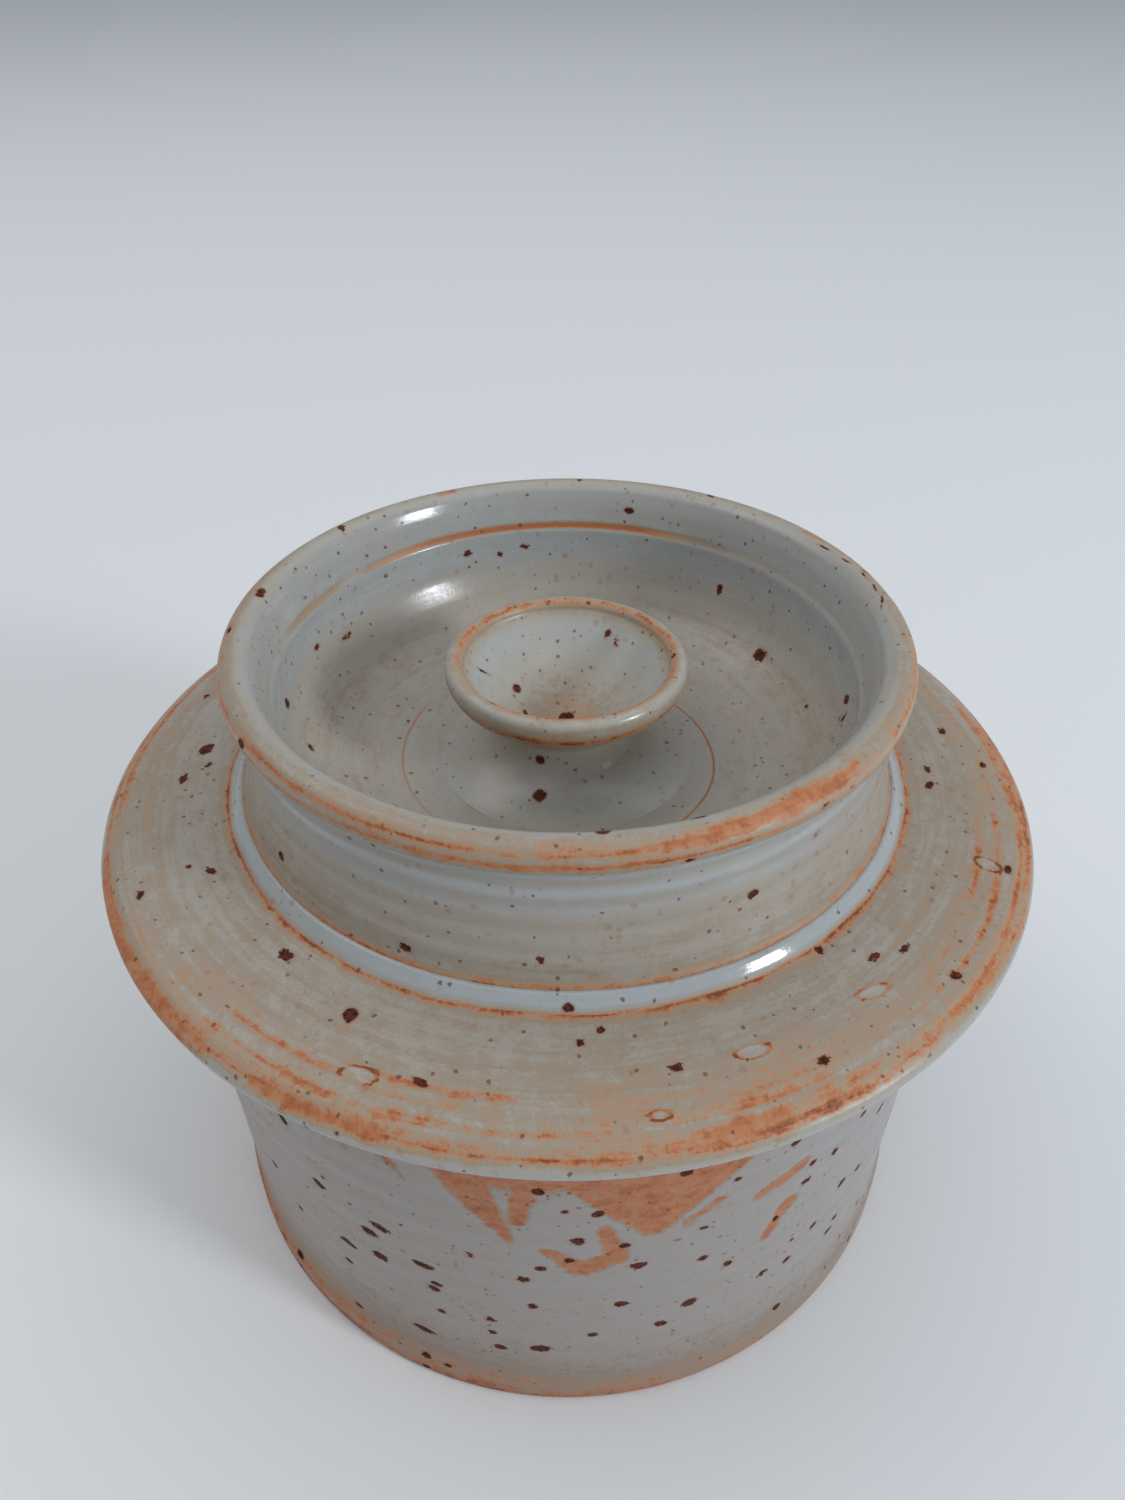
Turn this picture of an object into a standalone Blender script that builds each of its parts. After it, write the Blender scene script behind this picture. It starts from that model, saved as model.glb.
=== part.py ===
"""Stoneware canister: a hand-thrown jar with a loose, hat-shaped lid.

The jar is one thrown pot. The lid is thrown members luted together before firing: a round
plate whose outer part is the hat's brim, a locating collar under it, a crown ring with a
coved inside and a rolled rim on top of it, and a hollow trumpet knob in the middle, lower
than the crown's rim.

Metres, +Z up, origin on the jar's axis in the plane it stands on.
Every member is a turned solid about the Z axis.
"""
import math

import bpy

MM = 0.001
NAME = "stoneware_canister"

# Steps around the axis: large members and the small knob.
RING_STEPS = 56
KNOB_STEPS = 36

# Clearance between members that rest on each other.
SEAM = 0.3 * MM

# Jar: radii of the slightly waisted wall, from foot to rim.
JAR_HEIGHT = 72.9 * MM
JAR_RIM_RADIUS = 58.7 * MM
JAR_MID_RADIUS = 58.2 * MM
JAR_LOW_RADIUS = 57.5 * MM
JAR_WALL = 6.1 * MM
JAR_FLOOR = 7.0 * MM
JAR_FLOOR_FILLET = 6.0 * MM
JAR_RIM_ROUND = 1.5 * MM
FOOT_RADIUS = 58.2 * MM
FOOT_HEIGHT = 5.6 * MM
FOOT_ROUND = 1.0 * MM
FOOT_RING_WIDTH = 7.5 * MM
FOOT_RECESS = 1.5 * MM

# Plate: the lid's floor in the middle, a bead that hugs the crown's foot, then the brim.
BRIM_RADIUS = 67.3 * MM
BRIM_EDGE_ROUND = 2.0 * MM
BRIM_THICKNESS = 5.4 * MM
PLATE_THICKNESS = 6.3 * MM
BEAD_WIDTH = 2.5 * MM
BEAD_TOP = 7.7 * MM

# Collar: keeps the lid on the jar. It is loose enough to sit 2 mm off centre.
COLLAR_OUTER = 49.4 * MM
COLLAR_INNER = 44.8 * MM
COLLAR_DEPTH = 11.9 * MM
COLLAR_CHAMFER = 1.0 * MM

# Crown: an upright ring, rolled over outwards at the rim and coved inwards at the foot.
CROWN_RADIUS = 47.0 * MM
CROWN_HEIGHT = 22.6 * MM
CROWN_FOOT_RADIUS = 46.5 * MM
CROWN_NECK_RADIUS = 44.7 * MM
CROWN_INNER_RADIUS = 40.4 * MM
CROWN_RIDGE = 0.5 * MM
COVE_RADIUS = 14.0 * MM
COVE_LIFT = 0.2 * MM
COVE_TOE_ANGLE = -76.0
ROLL_RADIUS = 2.35 * MM

# Knob: a trumpet with a thick lip and a spreading foot, hollow from above.
KNOB_RADIUS = 16.4 * MM
KNOB_HEIGHT = 16.7 * MM
KNOB_LIP_ROUND = 1.25 * MM
KNOB_LIP_DEPTH = 4.6 * MM
KNOB_LIP_TAPER = 0.1 * MM
KNOB_LIP_FLAT = 1.4 * MM
KNOB_LIP_STEP = 1.5 * MM
KNOB_WAIST_RADIUS = 9.8 * MM
KNOB_WAIST_HEIGHT = 7.0 * MM
KNOB_NECK_RADIUS = 10.7 * MM
KNOB_NECK_HEIGHT = 9.0 * MM
KNOB_FOOT_RADIUS = 17.0 * MM
KNOB_BOWL_BOTTOM = 6.2 * MM
KNOB_BOWL_POWER = 2.2
KNOB_FLARE_POWER = 2.0

# Heights at which the members sit.
PLATE_SEAT = JAR_HEIGHT + SEAM
COLLAR_SEAT = PLATE_SEAT - SEAM
CROWN_SEAT = PLATE_SEAT + PLATE_THICKNESS + SEAM
KNOB_SEAT = CROWN_SEAT

# Glaze and clay: colour, roughness.
JAR_GLAZE = ((0.46, 0.43, 0.41), 0.30)
PLATE_GLAZE = ((0.47, 0.41, 0.33), 0.27)
CROWN_GLAZE = ((0.47, 0.44, 0.38), 0.25)
KNOB_GLAZE = ((0.48, 0.46, 0.42), 0.22)
COLLAR_CLAY = ((0.40, 0.25, 0.15), 0.70)


def clear_scene():
    for obj in list(bpy.data.objects):
        bpy.data.objects.remove(obj, do_unlink=True)


def arc(centre_r, centre_z, radius, start, end, pieces):
    """Points (r, z) on an arc, from one angle to the other in degrees, ends included."""
    angles = [math.radians(start + (end - start) * i / pieces) for i in range(pieces + 1)]
    return [(centre_r + radius * math.cos(a), centre_z + radius * math.sin(a)) for a in angles]


def clay(name, look):
    """A fired, non-metallic surface with one colour and roughness."""
    colour, roughness = look
    material = bpy.data.materials.new(name)
    material.use_nodes = True
    shader = material.node_tree.nodes["Principled BSDF"]
    shader.inputs["Base Color"].default_value = (*colour, 1.0)
    shader.inputs["Roughness"].default_value = roughness
    shader.inputs["Metallic"].default_value = 0.0
    material.diffuse_color = (*colour, 1.0)
    return material


def body_frame(name, height, collection):
    """An empty on the axis that carries the members of one loose piece."""
    frame = bpy.data.objects.new(name, None)
    frame.empty_display_size = 0.02
    frame.location = (0.0, 0.0, height)
    collection.objects.link(frame)
    return frame


def turned(name, profile, ring, steps, look, seat, parent, collection):
    """Turn a profile of (r, z) points about Z. A ring's profile closes on itself,
    any other begins and ends on the axis. Its outer side runs from top to bottom."""
    mesh = bpy.data.meshes.new(name)
    points = [(r, 0.0, z) for r, z in profile]
    edges = [(i, i + 1) for i in range(len(points) - 1)]
    if ring:
        edges.append((len(points) - 1, 0))
    mesh.from_pydata(points, edges, [])
    mesh.materials.append(clay(name, look))

    obj = bpy.data.objects.new(name, mesh)
    collection.objects.link(obj)
    obj.parent = parent
    obj.location = (0.0, 0.0, seat - parent.location.z)

    screw = obj.modifiers.new("turn", "SCREW")
    screw.axis = "Z"
    screw.angle = 2.0 * math.pi
    screw.steps = steps
    screw.render_steps = steps
    screw.use_merge_vertices = True
    screw.merge_threshold = 0.01 * MM
    screw.use_smooth_shade = True
    return obj


def jar_profile():
    """The pot: floor, wall and rim inside, then the outer wall down to the trimmed foot."""
    inner = JAR_RIM_RADIUS - JAR_WALL
    rim_z = JAR_HEIGHT - JAR_RIM_ROUND
    fillet_r = inner - JAR_FLOOR_FILLET
    fillet_z = JAR_FLOOR + JAR_FLOOR_FILLET
    ring_inner = FOOT_RADIUS - FOOT_RING_WIDTH
    return [
        (0.0, JAR_FLOOR),
        *arc(fillet_r, fillet_z, JAR_FLOOR_FILLET, -90, 0, 4),
        *arc(inner + JAR_RIM_ROUND, rim_z, JAR_RIM_ROUND, 180, 90, 3),
        *arc(JAR_RIM_RADIUS - JAR_RIM_ROUND, rim_z, JAR_RIM_ROUND, 90, 0, 3),
        (JAR_MID_RADIUS, 0.55 * JAR_HEIGHT),
        (JAR_LOW_RADIUS, 0.25 * JAR_HEIGHT),
        (JAR_LOW_RADIUS, FOOT_HEIGHT + FOOT_ROUND),
        (FOOT_RADIUS, FOOT_HEIGHT),
        *arc(FOOT_RADIUS - FOOT_ROUND, FOOT_ROUND, FOOT_ROUND, 0, -90, 3),
        (ring_inner, 0.0),
        (ring_inner - FOOT_RECESS, FOOT_RECESS),
        (0.0, FOOT_RECESS),
    ]


def plate_profile():
    """The floor, then the bead round the crown's foot, and the brim out to its round edge."""
    bead_inner = CROWN_FOOT_RADIUS + SEAM
    bead_outer = bead_inner + BEAD_WIDTH
    edge_r = BRIM_RADIUS - BRIM_EDGE_ROUND
    return [
        (0.0, PLATE_THICKNESS),
        (bead_inner, PLATE_THICKNESS),
        (bead_inner, 0.95 * BEAD_TOP),
        (bead_inner + 0.2 * BEAD_WIDTH, BEAD_TOP),
        (bead_inner + 0.55 * BEAD_WIDTH, 0.9 * BEAD_TOP),
        (bead_outer, 1.04 * BRIM_THICKNESS),
        (0.5 * (bead_outer + edge_r), BRIM_THICKNESS - 0.25 * BRIM_EDGE_ROUND),
        *arc(edge_r, BRIM_EDGE_ROUND, BRIM_EDGE_ROUND, 80, -90, 6),
        (0.0, 0.0),
    ]


def collar_profile():
    """The locating ring, hanging down from the brim with chamfered lower corners."""
    return [
        (COLLAR_INNER + COLLAR_CHAMFER, -COLLAR_DEPTH),
        (COLLAR_INNER, COLLAR_CHAMFER - COLLAR_DEPTH),
        (COLLAR_INNER, 0.0),
        (COLLAR_OUTER, 0.0),
        (COLLAR_OUTER, COLLAR_CHAMFER - COLLAR_DEPTH),
        (COLLAR_OUTER - COLLAR_CHAMFER, -COLLAR_DEPTH),
    ]


def crown_profile():
    """The cove and inner wall, the roll, then the outer wall and the flat foot."""
    roll_r = CROWN_RADIUS - ROLL_RADIUS
    roll_z = CROWN_HEIGHT - ROLL_RADIUS
    neck_z = roll_z - 1.9 * ROLL_RADIUS
    cove_r = CROWN_INNER_RADIUS - COVE_RADIUS
    cove = arc(cove_r, COVE_RADIUS + COVE_LIFT, COVE_RADIUS, COVE_TOE_ANGLE, 0.0, 6)
    toe_r = cove[0][0]
    return [
        (toe_r, 0.0),
        *cove,
        (CROWN_INNER_RADIUS + CROWN_RIDGE, neck_z),
        *arc(roll_r, roll_z, ROLL_RADIUS, 190, -60, 9),
        (CROWN_NECK_RADIUS, neck_z),
        (0.5 * (CROWN_NECK_RADIUS + CROWN_FOOT_RADIUS), 0.45 * neck_z),
        (CROWN_FOOT_RADIUS, BEAD_TOP - PLATE_THICKNESS),
        (CROWN_FOOT_RADIUS, 0.0),
    ]


def knob_profile():
    """The bowl of the trumpet, its thick lip, then the waist and the spreading foot."""
    lip_r = KNOB_RADIUS - KNOB_LIP_ROUND
    lip_z = KNOB_HEIGHT - KNOB_LIP_ROUND
    lip_under = KNOB_HEIGHT - KNOB_LIP_DEPTH
    bowl_r = lip_r - KNOB_LIP_ROUND
    depth = lip_z - KNOB_BOWL_BOTTOM
    bowl = [(bowl_r * t, KNOB_BOWL_BOTTOM + depth * t ** KNOB_BOWL_POWER) for t in (0.0, 0.3, 0.55, 0.8)]
    spread = KNOB_FOOT_RADIUS - KNOB_WAIST_RADIUS
    foot = [
        (KNOB_WAIST_RADIUS + spread * (1.0 - t) ** KNOB_FLARE_POWER, KNOB_WAIST_HEIGHT * t)
        for t in (0.75, 0.5, 0.25, 0.0)
    ]
    return [
        *bowl,
        *arc(lip_r, lip_z, KNOB_LIP_ROUND, 180, 0, 5),
        (KNOB_RADIUS - KNOB_LIP_TAPER, lip_z - KNOB_LIP_FLAT),
        (lip_r, lip_under),
        (0.62 * lip_r + 0.38 * KNOB_WAIST_RADIUS, lip_under - KNOB_LIP_STEP),
        (KNOB_NECK_RADIUS, KNOB_NECK_HEIGHT),
        (KNOB_WAIST_RADIUS, KNOB_WAIST_HEIGHT),
        *foot,
        (0.0, 0.0),
    ]


def build():
    clear_scene()
    canister = bpy.data.collections.new(NAME)
    bpy.context.scene.collection.children.link(canister)

    jar = body_frame("jar", 0.0, canister)
    lid = body_frame("lid", PLATE_SEAT, canister)

    turned("jar_pot", jar_profile(), False, RING_STEPS, JAR_GLAZE, 0.0, jar, canister)
    turned("lid_plate", plate_profile(), False, RING_STEPS, PLATE_GLAZE, PLATE_SEAT, lid, canister)
    turned("lid_collar", collar_profile(), True, RING_STEPS, COLLAR_CLAY, COLLAR_SEAT, lid, canister)
    turned("lid_crown", crown_profile(), True, RING_STEPS, CROWN_GLAZE, CROWN_SEAT, lid, canister)
    turned("lid_knob", knob_profile(), False, KNOB_STEPS, KNOB_GLAZE, KNOB_SEAT, lid, canister)


build()
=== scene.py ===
"""Looks of the stoneware canister: turned clay skins with throwing marks, under a speckled
glaze that breaks rust-brown where it is thin and runs blue-white where it pools.

Lengths are in millimetres up to the point where a mesh or a shader needs metres.
Angles go round the axis from +X; -90 is the front.
"""
import math
from collections import namedtuple

import bpy
import numpy as np
from mathutils import Matrix, Vector


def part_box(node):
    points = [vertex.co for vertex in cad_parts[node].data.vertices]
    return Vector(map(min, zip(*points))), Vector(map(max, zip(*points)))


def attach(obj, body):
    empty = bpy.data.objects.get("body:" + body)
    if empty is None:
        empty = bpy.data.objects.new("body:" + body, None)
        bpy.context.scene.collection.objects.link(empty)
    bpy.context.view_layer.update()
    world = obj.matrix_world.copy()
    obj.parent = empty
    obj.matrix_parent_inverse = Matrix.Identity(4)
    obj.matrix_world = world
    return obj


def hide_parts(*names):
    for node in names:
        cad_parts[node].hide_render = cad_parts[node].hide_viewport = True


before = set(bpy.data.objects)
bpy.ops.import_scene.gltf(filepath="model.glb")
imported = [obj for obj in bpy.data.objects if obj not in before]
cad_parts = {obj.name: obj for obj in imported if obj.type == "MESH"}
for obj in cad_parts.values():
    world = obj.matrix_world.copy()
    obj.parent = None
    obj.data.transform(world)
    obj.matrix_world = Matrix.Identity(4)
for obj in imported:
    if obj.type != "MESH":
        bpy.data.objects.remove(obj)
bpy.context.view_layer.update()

MM = 0.001


# ---------------------------------------------------------------- sizes from the frame

Size = namedtuple("Size", "radius bottom top")


def cad_size(node):
    """Radius and heights of a turned CAD node, in millimetres."""
    low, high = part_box(node)
    return Size(high.x / MM, low.z / MM, high.z / MM)


JAR = cad_size("jar_pot")
PLATE = cad_size("lid_plate")
COLLAR = cad_size("lid_collar")
CROWN = cad_size("lid_crown")
KNOB = cad_size("lid_knob")

FLOOR_Z = CROWN.bottom - 0.2
NECK_RADIUS = 44.7
BEAD_OUTER = 49.4

# Where marks on the crown's roll start to count, from its inner side over the top.
ROLL_LEVEL = 200.0


# ---------------------------------------------------------------- profiles

# A run is one stretch of a profile: its rows are `spacing` apart, and `level` says
# whether marks on it are placed by height ("z"), by radius ("r"), by distance along the
# run from a starting value (a number), or not at all ("").
Run = namedtuple("Run", "name spacing level points")
Rows = namedtuple("Rows", "r z along level spans total")
NOWHERE = -1000.0
JOIN = 0.02


def arc(centre_r, centre_z, radius, start, end, pieces=24):
    angles = np.radians(np.linspace(start, end, pieces + 1))
    return [(centre_r + radius * math.cos(a), centre_z + radius * math.sin(a)) for a in angles]


def smooth(points, pieces=8):
    """A Catmull-Rom curve through the points."""
    p = [np.array(q, float) for q in points]
    p = [2 * p[0] - p[1]] + p + [2 * p[-1] - p[-2]]
    out = []
    for a, b, c, d in zip(p, p[1:], p[2:], p[3:]):
        for t in np.linspace(0.0, 1.0, pieces, endpoint=False):
            out.append(0.5 * (2 * b + (c - a) * t + (2 * a - 5 * b + 4 * c - d) * t * t
                              + (3 * b - a - 3 * c + d) * t ** 3))
    return [tuple(q) for q in out] + [tuple(p[-2])]


def lay_rows(runs):
    """Rows of a profile, evenly spaced along each run."""
    r, z, level, starts = [], [], [], {}
    for run in runs:
        pts = np.array(run.points, float)
        step = np.hypot(*np.diff(pts, axis=0).T)
        dist = np.concatenate([[0.0], np.cumsum(step)])
        count = max(2, int(math.ceil(dist[-1] / run.spacing)) + 1)
        at = np.linspace(0.0, dist[-1], count)
        rr, zz = np.interp(at, dist, pts[:, 0]), np.interp(at, dist, pts[:, 1])
        if r and math.hypot(r[-1] - rr[0], z[-1] - zz[0]) < JOIN:
            rr, zz = rr[1:], zz[1:]
            starts[run.name] = len(r) - 1
        else:
            starts[run.name] = len(r)
        r += list(rr)
        z += list(zz)
        if run.level == "z":
            level += list(zz)
        elif run.level == "r":
            level += list(rr)
        elif run.level == "":
            level += [NOWHERE] * len(rr)
        else:
            level += list(run.level + at[-len(rr):])
    r, z = np.array(r), np.array(z)
    along = np.concatenate([[0.0], np.cumsum(np.hypot(np.diff(r), np.diff(z)))])
    names = list(starts)
    ends = [starts[n] for n in names[1:]] + [len(r) - 1]
    spans = {n: (along[starts[n]], along[e]) for n, e in zip(names, ends)}
    return Rows(r, z, along, np.array(level), spans, along[-1])


# Inside the jar, and its rounded rim.
JAR_WALL = 6.1
JAR_FLOOR = 7.0
JAR_COVE = 6.0
RIM_ROUND = 1.5
# The cove that leads from the lid's sunk floor up to the crown's inner wall.
TOE_RADIUS = 24.6
COVE_START = 26.4
COVE_RADIUS = 14.0
COLLAR_WALL = 4.6
COLLAR_LIP = 1.2
ROLL_RADIUS = 2.35
KNOB_LIP = 1.25
BOWL_BOTTOM = 5.0
BOWL_POWER = 1.6


def jar_runs():
    inner = JAR.radius - JAR_WALL
    cove_top = JAR_FLOOR + JAR_COVE
    rim = JAR.top - RIM_ROUND
    mid, low, foot = JAR.radius - 0.5, JAR.radius - 1.2, JAR.radius - 0.55
    return [
        Run("inside_floor", 2.5, "", [(0.0, JAR_FLOOR), (inner - JAR_COVE, JAR_FLOOR)]),
        Run("inside_cove", 1.0, "", arc(inner - JAR_COVE, cove_top, JAR_COVE, -90, 0)),
        Run("inside_wall", 1.8, "", [(inner, cove_top), (inner, rim)]),
        Run("rim", 0.4, "", arc(inner + RIM_ROUND, rim, RIM_ROUND, 180, 90)
            + arc(JAR.radius - RIM_ROUND, rim, RIM_ROUND, 90, 0)),
        Run("wall", 0.68, "z", smooth([(JAR.radius, rim), (mid + 0.3, 58.0), (mid, 40.0),
                                      (low + 0.2, 22.0), (low, 8.0), (low + 0.05, 6.8)])),
        Run("foot_step", 0.25, "z", smooth([(low + 0.05, 6.8), (low + 0.3, 6.0), (foot, 5.4)])),
        Run("foot", 0.5, "z", [(foot, 5.4)] + arc(foot - 1.0, 1.0, 1.0, 0, -90)),
        Run("underside", 3.5, "", [(foot - 1.0, 0.0), (foot - 7.4, 0.0), (foot - 8.9, 1.5),
                                   (0.0, 1.5)]),
    ]


def plate_runs():
    bead = CROWN.radius - 0.2
    edge = PLATE.radius - 2.0
    low = PLATE.bottom
    return [
        Run("centre", 1.5, "r", [(0.0, FLOOR_Z), (15.0, FLOOR_Z)]),
        Run("floor", 0.4, "r", smooth([(15.0, FLOOR_Z), (20.0, FLOOR_Z + 0.03),
                                       (COVE_START, CROWN.bottom + 0.1)])),
        Run("seat", 2.0, "", [(COVE_START, CROWN.bottom + 0.1), (28.0, low + 6.3),
                              (bead - 0.6, low + 6.3)]),
        Run("bead", 0.25, "r", smooth([(bead - 0.6, low + 6.3), (bead - 0.3, low + 7.2),
                                       (bead + 0.4, PLATE.top - 0.2), (bead + 1.05, low + 7.0),
                                       (bead + 1.7, low + 6.3), (BEAD_OUTER - 0.25, low + 5.8)])),
        Run("brim", 0.45, "r", smooth([(BEAD_OUTER - 0.25, low + 5.8), (BEAD_OUTER + 0.6, low + 5.6),
                                       (54.0, low + 5.2), (59.0, low + 4.85), (62.5, low + 4.4)])),
        Run("edge", 0.3, "r", smooth([(62.5, low + 4.4), (64.6, low + 3.85), (66.2, low + 3.0),
                                      (PLATE.radius - 0.1, low + 1.9), (PLATE.radius - 0.3, low + 0.8),
                                      (PLATE.radius - 1.2, low + 0.1), (edge, low)])),
        Run("underside", 2.0, "", [(edge, low), (0.0, low)]),
    ]


def collar_runs():
    inner = COLLAR.radius - COLLAR_WALL
    lip = COLLAR.bottom + COLLAR_LIP
    return [
        Run("inside", 0.8, "", [(inner, lip), (inner, COLLAR.top)]),
        Run("top", 1.2, "", [(inner, COLLAR.top), (COLLAR.radius, COLLAR.top)]),
        Run("outside", 0.6, "", [(COLLAR.radius, COLLAR.top), (COLLAR.radius, lip)]),
        Run("lip", 0.4, "", arc(COLLAR.radius - COLLAR_LIP, lip, COLLAR_LIP, 0, -90)
            + arc(inner + COLLAR_LIP, lip, COLLAR_LIP, -90, -180)),
    ]


def crown_runs():
    roll = CROWN.radius - ROLL_RADIUS
    roll_z = CROWN.top - ROLL_RADIUS
    return [
        Run("toe", 0.8, "", [(TOE_RADIUS, CROWN.bottom - 0.12), (COVE_START, CROWN.bottom + 0.2)]),
        Run("cove", 0.5, "z", arc(COVE_START, CROWN.bottom + 0.2 + COVE_RADIUS, COVE_RADIUS,
                                  -90, 0, 40)),
        Run("inner_wall", 0.3, "z", smooth([(40.4, 94.0), (40.45, 95.1), (40.85, 95.9), (41.3, 97.4),
                                            (41.9, 99.5), (roll - 2.035, roll_z + 1.175)])),
        Run("roll", 0.3, ROLL_LEVEL, arc(roll, roll_z, ROLL_RADIUS, 150, -60, 40)),
        Run("neck", 0.35, "z", smooth([(45.83, 98.0), (45.0, 96.9), (NECK_RADIUS, 95.4),
                                       (NECK_RADIUS + 0.1, 93.0)])),
        Run("wall", 0.45, "z", smooth([(NECK_RADIUS + 0.1, 93.0), (45.2, 88.5), (45.9, 84.5),
                                       (46.35, 81.8), (46.75, 80.95), (47.1, 80.5)])),
        Run("foot", 2.0, "", [(47.1, 80.5), (46.5, CROWN.bottom - 0.2),
                              (TOE_RADIUS, CROWN.bottom - 0.2)]),
    ]


def knob_runs():
    base = KNOB.bottom
    lip, lip_z = KNOB.radius - KNOB_LIP, KNOB.top - KNOB_LIP
    bowl_low = base + BOWL_BOTTOM
    bowl = [((lip - KNOB_LIP) * t, bowl_low + (lip_z - bowl_low) * t ** BOWL_POWER)
            for t in np.linspace(0, 1, 24)]
    return [
        Run("bowl", 0.35, "r", bowl),
        Run("lip", 0.2, "r", arc(lip, lip_z, KNOB_LIP, 180, 0)),
        Run("lip_side", 0.3, "r", smooth([(KNOB.radius, lip_z), (KNOB.radius - 0.1, 93.9), (lip, 92.0),
                                          (13.1, 90.6), (10.9, 88.9), (9.8, base + 7.0)])),
        Run("waist", 0.4, "r", smooth([(9.8, base + 7.0), (10.3, base + 5.0), (11.7, base + 3.2),
                                       (14.0, base + 1.5), (17.0, base + 0.2), (19.0, base - 0.3)])),
        Run("foot", 1.5, "", [(19.0, base - 0.3), (18.0, base - 0.5), (0.0, base - 0.5)]),
    ]


# ---------------------------------------------------------------- hand-made unevenness

def lattice_noise(theta, along, around, length, seed):
    """Smooth noise from -1 to 1, with `around` cells round the axis and cells `length` long."""
    rng = np.random.default_rng(seed)
    count = int(along.max() / length) + 3
    grid = rng.uniform(-1.0, 1.0, (count, around))
    u, v = theta / (2 * math.pi) * around, along / length
    iu, iv = np.floor(u).astype(int), np.floor(v).astype(int)
    fu, fv = u - iu, v - iv
    fu, fv = fu * fu * (3 - 2 * fu), fv * fv * (3 - 2 * fv)
    a, b = grid[iv, iu % around], grid[iv, (iu + 1) % around]
    c, d = grid[iv + 1, iu % around], grid[iv + 1, (iu + 1) % around]
    return (a * (1 - fu) + b * fu) * (1 - fv) + (c * (1 - fu) + d * fu) * fv


def fade(along, span, soft):
    """1 inside a span of the profile, falling to 0 over `soft` at its ends."""
    low, high = span
    rise = np.clip((along - low) / soft, 0.0, 1.0)
    fall = np.clip((high - along) / soft, 0.0, 1.0)
    return np.minimum(rise, fall)


def throwing_rings(theta, along, span, pitch, depth, seed):
    """A helix of finger ridges along a span, uneven in height and spacing."""
    drift = lattice_noise(theta, along, 5, 9.0, seed)
    height = 0.6 + 0.4 * lattice_noise(theta, along, 4, 6.0, seed + 1)
    phase = 2 * math.pi * along / pitch + theta + 1.6 * drift
    return depth * height * np.sin(phase) * fade(along, span, 1.5 * pitch)


def lumps(theta, along, amount, seed):
    """Soft out-of-roundness and finger dents."""
    broad = lattice_noise(theta, along, 6, 22.0, seed)
    small = lattice_noise(theta, along, 26, 5.0, seed + 1)
    return amount * (0.7 * broad + 0.3 * small)


# ---------------------------------------------------------------- marks in the glaze

# One mark: angle and level of its middle, half its length round the pot, half its
# width across, and its tilt. Angles in degrees, the rest in millimetres.
Mark = namedtuple("Mark", "angle level length width tilt")
# One stroke of thin glaze: from one place to another, with a width at each end.
Stroke = namedtuple("Stroke", "angle0 level0 angle1 level1 width0 width1")

# Many of the front marks' angles and levels were worked out by a helper script, which cast
# points of the photo through the fitted camera onto the pot. The other marks, and all
# lengths, widths and tilts, were chosen one by one.

JAR_FLECKS = [
    Mark(-94, 15, 1.6, 0.6, 0), Mark(-83, 28, 1.1, 0.5, 0), Mark(-73, 24, 1.3, 0.8, 15),
    Mark(-81, 38.5, 1.3, 0.55, 10), Mark(-77, 20, 0.9, 0.55, 5), Mark(-118, 36, 1.4, 0.6, 0),
    Mark(-117, 30, 1.4, 0.6, 0), Mark(-116, 39, 1.7, 0.5, -10), Mark(-110, 33, 1.6, 0.6, -5),
    Mark(-109, 27, 1.1, 0.5, 0), Mark(-96, 35.5, 0.9, 0.45, 0), Mark(-95, 28, 0.7, 0.5, 0),
    Mark(-61, 38, 0.5, 0.4, 0), Mark(-57, 44, 0.9, 0.5, 20), Mark(-100, 14, 0.9, 0.5, 0),
    Mark(-112, 12.5, 1.9, 0.4, -5), Mark(-101, 22, 0.8, 0.4, 0), Mark(-61, 23, 0.9, 0.45, 20),
    Mark(-123, 28, 1.5, 0.5, -10), Mark(-126, 41, 1.2, 0.4, -15), Mark(-131, 52, 1.4, 0.35, -30),
    Mark(-89, 46, 1.0, 0.4, 5), Mark(-68, 32, 0.8, 0.4, 10), Mark(-47, 33, 1.0, 0.5, 20),
    Mark(-41, 45, 1.1, 0.4, 25), Mark(-52, 27, 0.8, 0.4, 10), Mark(-103, 40, 0.6, 0.4, 0),
]
JAR_BARE = [
    Stroke(-88, 63, -80, 48, 5.0, 1.8), Stroke(-71, 61, -79, 48, 5.0, 1.8),
    Stroke(-80, 60, -79, 51, 7.0, 4.0), Stroke(-104, 60, -101, 53, 3.5, 2.2),
    Stroke(-101, 53, -97.5, 45.5, 2.0, 0.4), Stroke(-95, 60, -96.5, 50, 1.8, 0.8),
    Stroke(-104, 60, -92, 60, 2.5, 2.5), Stroke(-93, 43.5, -88.5, 38.8, 0.7, 1.9),
    Stroke(-88.5, 38.8, -84, 41.5, 1.9, 1.8), Stroke(-84, 41.5, -85.5, 48.5, 1.8, 0.8),
    Stroke(-65, 47, -58.5, 49.5, 0.8, 1.4), Stroke(-62.5, 34.5, -59.5, 41, 0.7, 1.5),
    Stroke(-75, 47, -71, 50, 0.5, 1.0), Stroke(-121, 61, -119, 56, 1.2, 0.6),
    Stroke(-115, 61, -111, 55, 1.0, 0.4), Stroke(-30, 60, -27, 52, 0.8, 0.5),
    Stroke(25, 61, 30, 50, 3.0, 0.7), Stroke(60, 62, 70, 55, 4.0, 2.0),
    Stroke(110, 60, 104, 44, 3.0, 0.8), Stroke(150, 62, 158, 57, 3.0, 1.5),
    Stroke(200, 58, 207, 48, 1.5, 0.8),
]
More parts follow.
